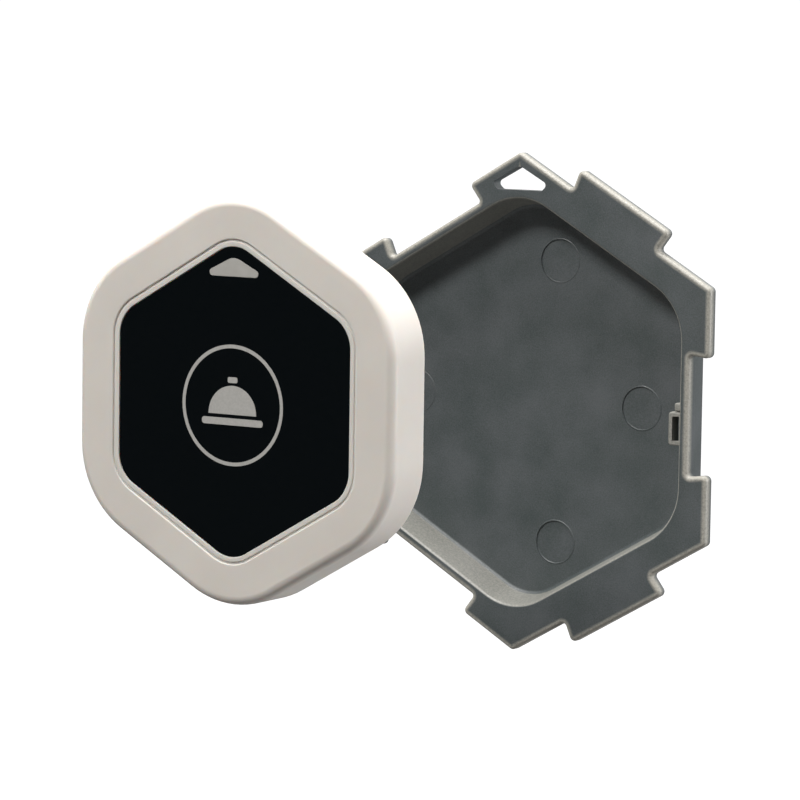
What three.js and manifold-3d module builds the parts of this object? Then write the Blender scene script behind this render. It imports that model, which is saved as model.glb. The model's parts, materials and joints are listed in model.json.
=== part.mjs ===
// A wireless call-button transmitter and the interlocking hexagonal bracket that it drops into.
// Millimetres, +Z up. The front faces -Y. The bracket's back lies in the plane y = 0, round the origin.
// Every piece is drawn face up: local x is right, local y is up and local z is the height above the back.
// One turned group then stands the whole assembly up, so local z becomes -Y.
import * as THREE from "three";
import { mergeVertices } from "three/addons/utils/BufferGeometryUtils.js";
import Module from "manifold-3d";

const wasm = await Module();
wasm.setup();

const SIDES = 6;
const SIDE_TURN = (2 * Math.PI) / SIDES;
const ARC_STEPS = 6; // facets round one hexagon corner
const FILLET_STEPS = 3; // facets round one moulded edge
const GAP = 0.1; // air between pieces that rest on each other

// Bracket: a drafted hexagonal cup with a flange round its mouth.
const BRACKET_DEPTH = 8.1;
const FLOOR_THICKNESS = 1.6;
const FLANGE_THICKNESS = 2.4;
const FLANGE_APOTHEM = 39.3;
const TAB_REACH = 4.0; // how far a tab stands out, and how deep a recess is
const TAB_ROOT_HALF = 10.1;
const TAB_TIP_HALF = 10.6;
const RECESS_MOUTH_HALF = 10.3;
const RECESS_FLOOR_HALF = 10.8;
const CORNER_ROUND = 0.8;
const NOTCH_ROUND = 0.5;
const MOUTH_APOTHEM = 33.6;
const MOUTH_CORNER = 11.3;
const CUP_WALL = 1.65;
const CUP_CORNER = 16.0; // outside corner, left thicker than the sides
const WALL_DRAFT = Math.tan(THREE.MathUtils.degToRad(12));
const FLOOR_FILLET = 0.9;
const MOUTH_FILLET = 0.6;
const STRAP_HOLE = [
  [-4.6, 38.5, 0.7],
  [4.6, 38.5, 0.7],
  [5.9, 39.7, 0.7],
  [0, 42.9, 1.1],
  [-5.9, 39.7, 0.7],
];
const LOOP_CENTRE_UP = -2.4;
const LOOP_HALF_HEIGHT = 3.0;
const LOOP_REACH = 31.35; // distance from the centre to the grip's inner face
const LOOP_BAR = 0.8;
const LOOP_DEPTH = 2.5;
const EJECTOR_RADIUS = 3.9;
const EJECTOR_SINK = 0.15;
const EJECTOR_PLACES = [
  [5, 25.7],
  [22.4, 0],
  [5, -25.7],
  [-25.2, 0],
];

// Transmitter: measured from its own back face.
const CASE_DEPTH = 10;
const CASE_APOTHEM = 31;
const CASE_CORNER = 16.5;
const CASE_FRONT_FILLET = 1.6;
const CASE_BACK_FILLET = 1.0;
const FRONT_WALL = 1.6;
const OPENING_APOTHEM = 23.85;
const OPENING_CORNER = 7.0;
const INNER_APOTHEM = 28.2;
const COVER_SEAT_APOTHEM = 29.4;
const COVER_SEAT_TOP = 2.9;
const COVER_APOTHEM = 29.2;
const COVER_THICKNESS = 1.5;
const SEAL_INNER = 27.9;
const SEAL_OUTER = 29.15;
const BOSS_RADIUS = 2.3;
const BOSS_ORBIT = 27.6;
const BOSS_TOP = 7.4;
const BOSS_RIB_LENGTH = 3.6;
const BOSS_RIB_WIDTH = 2.4;
const BOSS_TURNS = [90, 210, 330]; // degrees round the face, one boss at every second corner
const POST_RADIUS = 1.8;
const POST_ORBIT = 25.9;
const POST_TURNS = [60, 180, 300];

// Circuit board and what it carries.
const BOARD_BACK = 5.6;
const BOARD_THICKNESS = 1.0;
const BOARD_FRONT = BOARD_BACK + BOARD_THICKNESS;
const BOARD_APOTHEM = 27.4;
const BOARD_CORNER = 12;
const CELL_RADIUS = 10;
const CELL_THICKNESS = 3.2;
const CELL_STEP = 0.5;
const CONTACT_THICKNESS = 0.2;
const CELL_BACK = BOARD_BACK - CONTACT_THICKNESS - GAP - CELL_THICKNESS;
const CLIP_THICKNESS = 0.3;
const CLIP_WIDTH = 7.0;
const SWITCH_SIDE = 6;
const SWITCH_HEIGHT = 1.0;
const PLUNGER_RADIUS = 1.7;

// Press panel: an off-white plate, its black label and the triangular light window.
const PLATE_BACK = 8.6;
const PLATE_FRONT = 9.9;
const PLATE_APOTHEM = 23.55;
const PLATE_CORNER = 6.7;
const LABEL_APOTHEM = 22.6;
const LABEL_CORNER = 5.6;
const LABEL_RECESS = 0.4;
const LABEL_THICKNESS = 0.25;
const LABEL_BACK = PLATE_FRONT - LABEL_RECESS + 0.05;
const HOOK_TURNS = [0, 120, 240];
const HOOK_STEM = 1.4;
const HOOK_REACH = 3.0;
const HOOK_WIDTH = 8.0;
const HOOK_BACK = 7.5;
const NUB_RADIUS = 2.6; // presses the switch
const WINDOW_FOOT = 20.4;
const WINDOW_APEX = 23.7;
const WINDOW_HALF_WIDTH = 6.8; // to the sharp corners, which are then rounded off
const WINDOW_ROUND = 0.6;

// Where the transmitter is held at rest: lifted off its seat, straight out and a little up.
const SEAT_HEIGHT = FLOOR_THICKNESS + 0.2;
const LIFT_OUT = 86.3;
const LIFT_UP = 7.34;

const plastic = { roughness: 0.45, metalness: 0 };
const metal = { roughness: 0.3, metalness: 1 };
const FINISH = {
  grey: { color: 0x55575c, ...plastic, roughness: 0.55 },
  white: { color: 0xd9d2c8, ...plastic },
  black: { color: 0x07090c, ...plastic, roughness: 0.3 },
  window: { color: 0xb9b7b2, ...plastic, roughness: 0.3 },
  rubber: { color: 0x2a2a2c, ...plastic, roughness: 0.8 },
  board: { color: 0x1f5a35, ...plastic },
  chip: { color: 0x161616, ...plastic, roughness: 0.6 },
  paper: { color: 0xdedede, ...plastic, roughness: 0.7 },
  steel: { color: 0xb8babd, ...metal },
  brass: { color: 0xc9a24e, ...metal },
};

const polar = (orbit, degrees) => [
  orbit * Math.cos(THREE.MathUtils.degToRad(degrees)),
  orbit * Math.sin(THREE.MathUtils.degToRad(degrees)),
];

// --- solids and booleans ---------------------------------------------------------------------

function solidOf(geometry) {
  const bare = geometry.clone();
  bare.deleteAttribute("normal");
  bare.deleteAttribute("uv");
  const merged = mergeVertices(bare, 1e-4);
  return new wasm.Manifold(
    new wasm.Mesh({
      numProp: 3,
      vertProperties: merged.attributes.position.array,
      triVerts: new Uint32Array(merged.index.array),
    }),
  );
}

function geometryOf(solid) {
  const mesh = solid.getMesh();
  const geometry = new THREE.BufferGeometry();
  geometry.setAttribute("position", new THREE.BufferAttribute(mesh.vertProperties, 3));
  geometry.setIndex(new THREE.BufferAttribute(mesh.triVerts, 1));
  geometry.computeVertexNormals();
  return geometry;
}

const join = (...geometries) => geometryOf(geometries.map(solidOf).reduce((a, b) => a.add(b)));

const cut = (geometry, ...tools) =>
  geometryOf(tools.map(solidOf).reduce((a, b) => a.subtract(b), solidOf(geometry)));

function named(name, geometry, finish) {
  const mesh = new THREE.Mesh(geometry, new THREE.MeshStandardMaterial(FINISH[finish]));
  mesh.name = name;
  return mesh;
}

// --- shapes ----------------------------------------------------------------------------------

// Points of a hexagon with rounded corners, a point up, anticlockwise.
function hexagonPoints(apothem, corner) {
  const orbit = (apothem - corner) / Math.cos(SIDE_TURN / 2);
  const points = [];
  for (let side = 0; side < SIDES; side++) {
    const middle = SIDE_TURN * (side + 0.5);
    for (let step = 0; step <= ARC_STEPS; step++) {
      const angle = middle + SIDE_TURN * (step / ARC_STEPS - 0.5);
      points.push([
        orbit * Math.cos(middle) + corner * Math.cos(angle),
        orbit * Math.sin(middle) + corner * Math.sin(angle),
      ]);
    }
  }
  return points;
}

// A hexagonal solid through rings of [apothem, corner radius, height], from the back to the front.
function hexagonLoft(rings) {
  const positions = [];
  const index = [];
  for (const [apothem, corner, height] of rings) {
    for (const [x, y] of hexagonPoints(apothem, corner)) positions.push(x, y, height);
  }
  const count = SIDES * (ARC_STEPS + 1);
  for (let ring = 0; ring + 1 < rings.length; ring++) {
    for (let i = 0; i < count; i++) {
      const [a, b] = [ring * count + i, ring * count + ((i + 1) % count)];
      index.push(a, b, b + count, a, b + count, a + count);
    }
  }
  const back = positions.length / 3;
  positions.push(0, 0, rings[0][2], 0, 0, rings.at(-1)[2]);
  const last = (rings.length - 1) * count;
  for (let i = 0; i < count; i++) {
    const next = (i + 1) % count;
    index.push(back, next, i, back + 1, last + i, last + next);
  }
  const geometry = new THREE.BufferGeometry();
  geometry.setAttribute("position", new THREE.Float32BufferAttribute(positions, 3));
  geometry.setIndex(index);
  return geometry;
}

// A hexagonal block with rounded back and front edges.
function hexagonBlock(apothem, corner, back, front, backFillet = 0, frontFillet = 0) {
  const ring = (inset, height) => [apothem - inset, corner - inset, height];
  const rings = [];
  for (let step = 0; step <= (backFillet ? FILLET_STEPS : 0); step++) {
    const angle = (Math.PI / 2) * (step / FILLET_STEPS);
    rings.push(ring(backFillet * (1 - Math.sin(angle)), back + backFillet * (1 - Math.cos(angle))));
  }
  for (let step = 0; step <= (frontFillet ? FILLET_STEPS : 0); step++) {
    const angle = (Math.PI / 2) * (step / FILLET_STEPS);
    rings.push(ring(frontFillet * (1 - Math.cos(angle)), front - frontFillet * (1 - Math.sin(angle))));
  }
  return hexagonLoft(rings);
}

// An outline through [x, y, radius] corners, anticlockwise. An arc of that radius turns each corner.
function roundedShape(corners) {
  const shape = new THREE.Shape();
  corners.forEach(([x, y, radius], i) => {
    const here = new THREE.Vector2(x, y);
    const before = new THREE.Vector2(...corners.at(i - 1)).sub(here).normalize();
    const after = new THREE.Vector2(...corners[(i + 1) % corners.length]).sub(here).normalize();
    const half = Math.acos(THREE.MathUtils.clamp(before.dot(after), -1, 1)) / 2;
    const centre = before.clone().add(after).setLength(radius / Math.sin(half)).add(here);
    const start = before.clone().multiplyScalar(radius / Math.tan(half)).add(here).sub(centre);
    const end = after.clone().multiplyScalar(radius / Math.tan(half)).add(here).sub(centre);
    const turnsRight = before.cross(after) > 0;
    shape.absarc(centre.x, centre.y, radius, start.angle(), end.angle(), turnsRight);
  });
  return shape;
}

function plate(shape, back, front, bevel = 0) {
  const geometry = new THREE.ExtrudeGeometry(shape, {
    depth: front - back - 2 * bevel,
    bevelEnabled: bevel > 0,
    bevelThickness: bevel,
    bevelSize: bevel,
    bevelOffset: -bevel,
    bevelSegments: 1,
    curveSegments: 3,
  });
  return geometry.translate(0, 0, back + bevel);
}

const block = (width, height, back, front, x = 0, y = 0) =>
  new THREE.BoxGeometry(width, height, front - back).translate(x, y, (back + front) / 2);

const disc = (radius, back, front, [x, y] = [0, 0], facets = 24) =>
  new THREE.CylinderGeometry(radius, radius, front - back, facets)
    .rotateX(Math.PI / 2)
    .translate(x, y, (back + front) / 2);

const turned = (geometry, degrees) => geometry.rotateZ(THREE.MathUtils.degToRad(degrees));

// --- bracket ---------------------------------------------------------------------------------

// The flange's outline: a tab on every second side and the recess that fits one on the sides between.
function flangeShape() {
  const corners = [];
  const reach = FLANGE_APOTHEM * Math.tan(SIDE_TURN / 2);
  for (let side = 0; side < SIDES; side++) {
    const isTab = side % 2 === 1;
    const [near, far] = isTab ? [TAB_ROOT_HALF, TAB_TIP_HALF] : [RECESS_MOUTH_HALF, RECESS_FLOOR_HALF];
    const end = FLANGE_APOTHEM + (isTab ? TAB_REACH : -TAB_REACH);
    const across = [
      [-near, FLANGE_APOTHEM, NOTCH_ROUND],
      [-far, end, NOTCH_ROUND],
      [far, end, NOTCH_ROUND],
      [near, FLANGE_APOTHEM, NOTCH_ROUND],
      [reach, FLANGE_APOTHEM, CORNER_ROUND],
    ];
    const [cos, sin] = [Math.cos(side * SIDE_TURN), Math.sin(side * SIDE_TURN)];
    for (const [along, out, radius] of across) {
      corners.push([out * cos - along * sin, out * sin + along * cos, radius]);
    }
  }
  return roundedShape(corners);
}

function bracketCup() {
  const flangeBack = BRACKET_DEPTH - FLANGE_THICKNESS;
  const outer = MOUTH_APOTHEM + CUP_WALL;
  const inset = flangeBack * WALL_DRAFT;
  return hexagonLoft([
    [outer - inset - FLOOR_FILLET, CUP_CORNER - inset - FLOOR_FILLET, 0],
    [outer - inset, CUP_CORNER - inset, FLOOR_FILLET],
    [outer, CUP_CORNER, flangeBack],
    [outer, CUP_CORNER, BRACKET_DEPTH - 0.2],
  ]);
}

function bracketHollow() {
  const ring = (inset, height) => [MOUTH_APOTHEM - inset, MOUTH_CORNER - inset, height];
  const inset = (height) => (BRACKET_DEPTH - height) * WALL_DRAFT;
  const filletTop = FLOOR_THICKNESS + FLOOR_FILLET;
  const lipFoot = BRACKET_DEPTH - MOUTH_FILLET;
  return hexagonLoft([
    ring(inset(FLOOR_THICKNESS) + FLOOR_FILLET, FLOOR_THICKNESS),
    ring(inset(filletTop) + FLOOR_FILLET * 0.3, FLOOR_THICKNESS + FLOOR_FILLET * 0.3),
    ring(inset(filletTop), filletTop),
    ring(inset(lipFoot), lipFoot),
    ring(-MOUTH_FILLET * 0.15, BRACKET_DEPTH - MOUTH_FILLET * 0.4),
    ring(-MOUTH_FILLET * 0.6, BRACKET_DEPTH),
    ring(-MOUTH_FILLET * 0.6, BRACKET_DEPTH + 1),
  ]);
}

// The sprung grip on one side wall: a bar held off the wall by its two ends.
function gripLoop(side) {
  const back = BRACKET_DEPTH - LOOP_DEPTH;
  const front = BRACKET_DEPTH - 0.1;
  const wall = MOUTH_APOTHEM + CUP_WALL / 2;
  const body = block(
    wall - LOOP_REACH,
    2 * LOOP_HALF_HEIGHT,
    back,
    front,
    (side * (wall + LOOP_REACH)) / 2,
    LOOP_CENTRE_UP,
  );
  const slotFrom = LOOP_REACH + LOOP_BAR;
  const slotTo = MOUTH_APOTHEM + 0.1;
  const slot = block(
    slotTo - slotFrom,
    2 * (LOOP_HALF_HEIGHT - LOOP_BAR),
    back - 1,
    front + 1,
    (side * (slotFrom + slotTo)) / 2,
    LOOP_CENTRE_UP,
  );
  return cut(body, slot);
}

function bracketTray() {
  const flange = plate(flangeShape(), BRACKET_DEPTH - FLANGE_THICKNESS, BRACKET_DEPTH, 0.3);
  const strapHole = plate(roundedShape(STRAP_HOLE), 0, BRACKET_DEPTH + 1);
  const marks = EJECTOR_PLACES.map((place) =>
    disc(EJECTOR_RADIUS, FLOOR_THICKNESS - EJECTOR_SINK, FLOOR_THICKNESS + 1, place),
  );
  const shell = cut(join(flange, bracketCup()), bracketHollow(), strapHole, ...marks);
  return join(shell, gripLoop(1), gripLoop(-1));
}

// --- transmitter case ------------------------------------------------------------------------

function frontHousing() {
  const inner = (apothem, back, front) =>
    hexagonBlock(apothem, CASE_CORNER - (CASE_APOTHEM - apothem), back, front);
  const ceiling = CASE_DEPTH - FRONT_WALL;
  const shell = cut(
    hexagonBlock(CASE_APOTHEM, CASE_CORNER, 0, CASE_DEPTH, CASE_BACK_FILLET, CASE_FRONT_FILLET),
    inner(COVER_SEAT_APOTHEM, -1, COVER_SEAT_TOP),
    inner(INNER_APOTHEM, COVER_SEAT_TOP - 0.5, ceiling),
    hexagonBlock(OPENING_APOTHEM, OPENING_CORNER, ceiling - 1, CASE_DEPTH + 1),
  );
  const bosses = BOSS_TURNS.map((turn) =>
    turned(
      join(
        disc(BOSS_RADIUS, COVER_THICKNESS + GAP, BOSS_TOP, [BOSS_ORBIT, 0]),
        block(BOSS_RIB_LENGTH, BOSS_RIB_WIDTH, COVER_SEAT_TOP + 0.2, ceiling + 0.3, BOSS_ORBIT + 1.9),
      ),
      turn,
    ),
  );
  const posts = POST_TURNS.map((turn) =>
    disc(POST_RADIUS, BOARD_FRONT + GAP, ceiling + 0.3, polar(POST_ORBIT, turn), 18),
  );
  const bossHoles = BOSS_TURNS.map((turn) => disc(0.95, 0, 6.8, polar(BOSS_ORBIT, turn), 12));
  const postHoles = POST_TURNS.map((turn) => disc(0.65, 6, 8.1, polar(POST_ORBIT, turn), 12));
  return cut(join(shell, ...bosses, ...posts), ...bossHoles, ...postHoles);
}

function backCover() {
  const sheet = hexagonBlock(COVER_APOTHEM, CASE_CORNER - 1.8, 0, COVER_THICKNESS, 0.3, 0);
  const holes = BOSS_TURNS.flatMap((turn) => [
    disc(1.25, -1, COVER_THICKNESS + 1, polar(BOSS_ORBIT, turn), 18),
    disc(2.35, -1, 0.85, polar(BOSS_ORBIT, turn)),
  ]);
  const stickerRecess = plate(stickerShape(0.15), -1, 0.2);
  return cut(sheet, ...holes, stickerRecess);
}

// The blank rating sticker's outline, grown by a margin.
function stickerShape(margin) {
  const [halfWidth, halfHeight, radius] = [15 + margin, 9 + margin, 1.5];
  return roundedShape([
    [-halfWidth, -halfHeight, radius],
    [halfWidth, -halfHeight, radius],
    [halfWidth, halfHeight, radius],
    [-halfWidth, halfHeight, radius],
  ]);
}

function sealRing() {
  const back = COVER_THICKNESS + GAP;
  const front = COVER_SEAT_TOP - GAP;
  return cut(
    hexagonBlock(SEAL_OUTER, CASE_CORNER - 1.85, back, front, 0.3, 0.3),
    hexagonBlock(SEAL_INNER, CASE_CORNER - 3.1, back - 1, front + 1),
  );
}

// A cross-head screw driven from the back. Its head starts at headBack and its shank ends at tip.
function screw(headRadius, headBack, headHeight, shankRadius, tip, place, facets) {
  const body = join(
    disc(headRadius, headBack, headBack + headHeight, [0, 0], facets),
    disc(shankRadius, headBack + headHeight / 2, tip, [0, 0], 12),
  );
  const slotDepth = headBack + headHeight * 0.45;
  const bar = headRadius * 1.3;
  const width = headRadius * 0.3;
  const cross = join(block(bar, width, -1, slotDepth), block(width, bar, -1, slotDepth));
  return cut(body, cross).translate(place[0], place[1], 0);
}

// --- circuit board ---------------------------------------------------------------------------

function circuitBoard() {
  const sheet = hexagonBlock(BOARD_APOTHEM, BOARD_CORNER, BOARD_BACK, BOARD_FRONT);
  const notches = BOSS_TURNS.map((turn) =>
    disc(BOSS_RADIUS + 0.4, 0, CASE_DEPTH, polar(BOSS_ORBIT, turn), 20),
  );
  const ribs = BOSS_TURNS.map((turn) => turned(block(8, 3.2, 0, CASE_DEPTH, BOSS_ORBIT + 4), turn));
  const holes = POST_TURNS.map((turn) => disc(0.95, 0, CASE_DEPTH, polar(POST_ORBIT, turn), 14));
  return cut(sheet, ...notches, ...ribs, ...holes);
}

function coinCell() {
  const front = CELL_BACK + CELL_THICKNESS;
  const back = CELL_BACK;
  const can = disc(CELL_RADIUS, back, front - CELL_STEP, [0, 0], 40);
  const cap = disc(CELL_RADIUS - 1.1, back + 1, front, [0, 0], 40);
  return join(can, cap);
}

function cellContact() {
  const front = BOARD_BACK - 0.05;
  return disc(4.5, front - CONTACT_THICKNESS, front);
}

// A strap that crosses the cell's back and stands on the board with both legs.
function cellClip() {
  const inside = CELL_RADIUS + 0.4;
  const outside = inside + CLIP_THICKNESS;
  const strapFront = CELL_BACK - 0.05;
  const strapBack = strapFront - CLIP_THICKNESS;
  return join(
    block(2 * outside, CLIP_WIDTH, strapBack, strapFront),
    block(CLIP_THICKNESS, CLIP_WIDTH, strapBack, BOARD_BACK - GAP, (inside + outside) / 2),
    block(CLIP_THICKNESS, CLIP_WIDTH, strapBack, BOARD_BACK - GAP, -(inside + outside) / 2),
  );
}

function switchBase() {
  const back = BOARD_FRONT + 0.05;
  const body = block(SWITCH_SIDE, SWITCH_SIDE, back, back + SWITCH_HEIGHT);
  return cut(body, disc(PLUNGER_RADIUS + 0.2, back + 0.3, back + 2));
}

const onBoard = (width, height, tall, x, y) =>
  block(width, height, BOARD_FRONT + 0.05, BOARD_FRONT + 0.05 + tall, x, y);

// A wire bent round the left half of the board, standing on it with both ends.
function loopAntenna() {
  const [orbit, radius, lift] = [20.5, 0.4, BOARD_FRONT + 0.95];
  const points = [];
  for (let degrees = 120; degrees <= 240; degrees += 10) {
    const [x, y] = polar(orbit, degrees);
    points.push(new THREE.Vector3(x, y, lift));
  }
  const foot = (point) => new THREE.Vector3(point.x, point.y, BOARD_FRONT + 0.1);
  const path = new THREE.CatmullRomCurve3(points);
  const section = new THREE.Shape().absarc(0, 0, radius, 0, 2 * Math.PI);
  const wire = new THREE.ExtrudeGeometry(section, {
    steps: 36,
    extrudePath: path,
    bevelEnabled: false,
    curveSegments: 4,
  });
  const feet = [points[0], points.at(-1)].map((point) =>
    disc(radius, foot(point).z, lift + 0.1, [point.x, point.y], 12),
  );
  return join(wire, ...feet);
}

// --- press panel -----------------------------------------------------------------------------

// A hook that reaches under the edge of the housing's opening, drawn for the right-hand side.
function snapHook() {
  const stem = block(HOOK_STEM, HOOK_WIDTH, HOOK_BACK, PLATE_BACK + 0.2, PLATE_APOTHEM - 0.85);
  const lip = block(HOOK_REACH, HOOK_WIDTH, HOOK_BACK, HOOK_BACK + 0.7, PLATE_APOTHEM - 0.05);
  return join(stem, lip);
}

function pressPlate() {
  const sheet = hexagonBlock(PLATE_APOTHEM, PLATE_CORNER, PLATE_BACK, PLATE_FRONT, 0, 0.25);
  const labelRecess = hexagonBlock(
    LABEL_APOTHEM + 0.1,
    LABEL_CORNER + 0.1,
    PLATE_FRONT - LABEL_RECESS,
    PLATE_FRONT + 1,
  );
  const lightHole = plate(windowShape(0.2), 0, CASE_DEPTH + 1);
  const hooks = HOOK_TURNS.map((turn) => turned(snapHook(), turn));
  const nub = disc(NUB_RADIUS, PLATE_BACK - 0.2, PLATE_BACK + 0.3);
  return join(cut(sheet, labelRecess, lightHole), ...hooks, nub);
}

// The triangular window's outline, moved out by a margin all round.
function windowShape(margin) {
  const slope = Math.atan2(WINDOW_APEX - WINDOW_FOOT, WINDOW_HALF_WIDTH);
  const halfWidth = WINDOW_HALF_WIDTH + margin / Math.tan(slope / 2);
  const foot = WINDOW_FOOT - margin;
  const round = WINDOW_ROUND + margin;
  return roundedShape([
    [-halfWidth, foot, round],
    [halfWidth, foot, round],
    [0, WINDOW_APEX + margin / Math.cos(slope), 2 * round],
  ]);
}

function faceLabel() {
  return cut(
    hexagonBlock(LABEL_APOTHEM, LABEL_CORNER, LABEL_BACK, LABEL_BACK + LABEL_THICKNESS),
    plate(windowShape(0.1), 0, CASE_DEPTH + 1),
  );
}

const lightWindow = () =>
  plate(windowShape(0), PLATE_BACK - 0.3, LABEL_BACK + LABEL_THICKNESS);

// --- assembly --------------------------------------------------------------------------------

function transmitter() {
  const group = new THREE.Group();
  const switchTop = BOARD_FRONT + 0.05 + SWITCH_HEIGHT;
  group.add(
    named("front_housing", frontHousing(), "white"),
    named("back_cover", backCover(), "white"),
    named("seal_ring", sealRing(), "rubber"),
    named("rating_sticker", plate(stickerShape(0), 0.02, 0.15), "paper"),
    named("circuit_board", circuitBoard(), "board"),
    named("coin_cell", coinCell(), "steel"),
    named("cell_contact", cellContact(), "brass"),
    named("cell_clip", cellClip(), "steel"),
    named("switch_base", switchBase(), "chip"),
    named("switch_plunger", disc(PLUNGER_RADIUS, switchTop - 0.15, PLATE_BACK - 0.25), "rubber"),
    named("controller_chip", onBoard(5, 5, 0.9, 9, 7), "chip"),
    named("radio_chip", onBoard(4, 4, 0.85, -9, 7), "chip"),
    named("crystal", onBoard(3.2, 2.5, 0.75, -9, 0.5), "steel"),
    named("supply_capacitor", onBoard(3.5, 2.8, 1.2, 9, -7), "brass"),
    named("indicator_led", onBoard(3, 1.6, 0.9, 0, 21.6), "window"),
    named("loop_antenna", loopAntenna(), "brass"),
    named("press_plate", pressPlate(), "white"),
    named("face_label", faceLabel(), "black"),
    named("light_window", lightWindow(), "window"),
  );
  BOSS_TURNS.forEach((turn, i) => {
    const geometry = screw(2.1, 0.05, 0.75, 0.8, 6.3, polar(BOSS_ORBIT, turn), 20);
    group.add(named(`cover_screw_${i + 1}`, geometry, "steel"));
  });
  POST_TURNS.forEach((turn, i) => {
    const geometry = screw(1.5, BOARD_BACK - 0.95, 0.9, 0.5, 7.8, polar(POST_ORBIT, turn), 16);
    group.add(named(`board_screw_${i + 1}`, geometry, "steel"));
  });
  return group;
}

const faceUp = new THREE.Group();
faceUp.rotation.x = Math.PI / 2;
faceUp.add(named("bracket_tray", bracketTray(), "grey"));

const lifted = transmitter();
lifted.position.set(0, LIFT_UP, SEAT_HEIGHT + LIFT_OUT);
faceUp.add(lifted);

const callButton = new THREE.Group();
callButton.add(faceUp);

export default callButton;
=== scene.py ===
"""Looks for a hexagonal wireless call button, held out of its interlocking bracket.

Every piece is drawn face up in millimetres: x is right, y is up and z is the height above the piece's back.
stand_up() then turns it to the frame's axes, where the front faces -Y and +Z is up, and puts it in metres.
"""

import json
import math

import bmesh
import bpy
from mathutils import Matrix, Vector

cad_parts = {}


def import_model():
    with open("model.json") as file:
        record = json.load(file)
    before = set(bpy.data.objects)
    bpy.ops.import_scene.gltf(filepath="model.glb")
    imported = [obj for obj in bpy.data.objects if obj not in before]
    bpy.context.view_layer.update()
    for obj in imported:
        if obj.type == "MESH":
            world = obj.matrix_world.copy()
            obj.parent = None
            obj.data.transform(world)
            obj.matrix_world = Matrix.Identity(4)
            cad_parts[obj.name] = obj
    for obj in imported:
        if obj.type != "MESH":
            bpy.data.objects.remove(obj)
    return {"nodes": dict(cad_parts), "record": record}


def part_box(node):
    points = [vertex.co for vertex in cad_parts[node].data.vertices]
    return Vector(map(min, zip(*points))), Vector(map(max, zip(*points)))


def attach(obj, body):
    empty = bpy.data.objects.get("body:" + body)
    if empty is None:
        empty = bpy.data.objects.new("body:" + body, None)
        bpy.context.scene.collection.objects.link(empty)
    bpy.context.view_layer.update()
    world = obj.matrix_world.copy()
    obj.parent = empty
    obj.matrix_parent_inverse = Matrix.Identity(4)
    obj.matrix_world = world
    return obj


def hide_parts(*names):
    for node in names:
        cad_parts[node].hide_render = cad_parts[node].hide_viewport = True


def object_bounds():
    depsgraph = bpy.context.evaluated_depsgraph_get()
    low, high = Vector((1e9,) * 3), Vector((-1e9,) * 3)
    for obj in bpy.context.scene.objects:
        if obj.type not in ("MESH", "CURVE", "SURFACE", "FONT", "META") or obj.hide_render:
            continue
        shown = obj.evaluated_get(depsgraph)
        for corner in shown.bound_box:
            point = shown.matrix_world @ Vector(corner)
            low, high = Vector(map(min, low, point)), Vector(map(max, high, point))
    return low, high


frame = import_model()
cad_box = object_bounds()

MM = 0.001
SIDES = 6
SIDE_TURN = 2 * math.pi / SIDES
CORNER_STEPS = 14  # facets round one corner of a hexagon
FILLET_STEPS = 6  # facets round one moulded edge
OUTLINE_STEPS = 8  # facets round one corner of a drawn outline
SMALL_EDGE_STEPS = 4
LEAST_RADIUS = 0.05  # that an inset outline keeps in its corners
LEAST_CORNER = 0.3  # that the inner rings of a hexagon keep
CORE = 1.0  # apothem of the ring that closes a hexagonal piece at its middle
CLEAR = 1.0  # how far a cutter sticks out of what it cuts
MOUTH_CLEAR, MARK_CLEAR = 0.6, 0.5  # the same for the tray's hollow and for an ejector mark

# Bracket, from the CAD part.
BRACKET_DEPTH = 8.1
FLOOR_THICKNESS, FLOOR_FILLET = 1.6, 0.8
FLANGE_THICKNESS = 2.4
FLANGE_BACK = BRACKET_DEPTH - FLANGE_THICKNESS
FLANGE_APOTHEM = 39.3
FLANGE_EDGE = 0.6
APEX_ROUND = 1.0
TAB_REACH = 4.0
TAB_ROOT_HALF, TAB_TIP_HALF = 10.1, 10.6
TAB_ROOT_ROUND, TAB_TIP_ROUND = 0.7, 0.95
RECESS_MOUTH_HALF, RECESS_FLOOR_HALF = 10.3, 10.8
RECESS_MOUTH_ROUND, RECESS_FLOOR_ROUND = 0.95, 0.6
MOUTH_APOTHEM, MOUTH_CORNER = 33.6, 11.3
LIP_BITE, LIP_ROUND = 0.1, 0.55  # the lip starts a little inside the mouth and is flared
MOUTH_WIDENING = 0.01  # of the hollow above the flange
WALL_DRAFT = math.tan(math.radians(12))
CUP_WALL, CUP_CORNER = 1.65, 16.0
CUP_FOOT_ROUND, CUP_TOP_ROUND = 0.9, 0.5
CUP_SINK = 0.3  # the cup's walls end this far inside the flange
STRAP_HOLE = [(-4.6, 38.5, 0.7), (4.6, 38.5, 0.7), (5.9, 39.7, 0.7), (0, 42.9, 1.1), (-5.9, 39.7, 0.7)]
LOOP_CENTRE_UP, LOOP_HALF_HEIGHT = -2.4, 3.0
LOOP_REACH, LOOP_BAR, LOOP_DEPTH = 31.35, 0.8, 2.5
LOOP_ROUND, LOOP_EDGE, LOOP_SLOT_ROUND = 0.6, 0.32, 0.2
LOOP_SINK = 0.1  # below the flange's face
RIB_REACH, RIB_GAP, RIB_LENGTH = 1.1, 0.1, 1.5
RIB_ROUND, RIB_EDGE = 0.4, 0.3
EJECTOR_RADIUS, EJECTOR_SINK = 3.9, 0.15
EJECTOR_PLACES = [(5, 25.7), (22.4, 0), (5, -25.7), (-25.2, 0)]
EJECTOR_STEPS = 72
MARK_CHAMFER, MARK_CHAMFER_HEIGHT = 0.1, 0.08
FLASH_INSIDE, FLASH_CREST, FLASH_OUTSIDE = 0.3, 0.08, 0.22
FLASH_ROOT, FLASH_SHOULDER, FLASH_HEIGHT = 0.3, 0.02, 0.1

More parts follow.
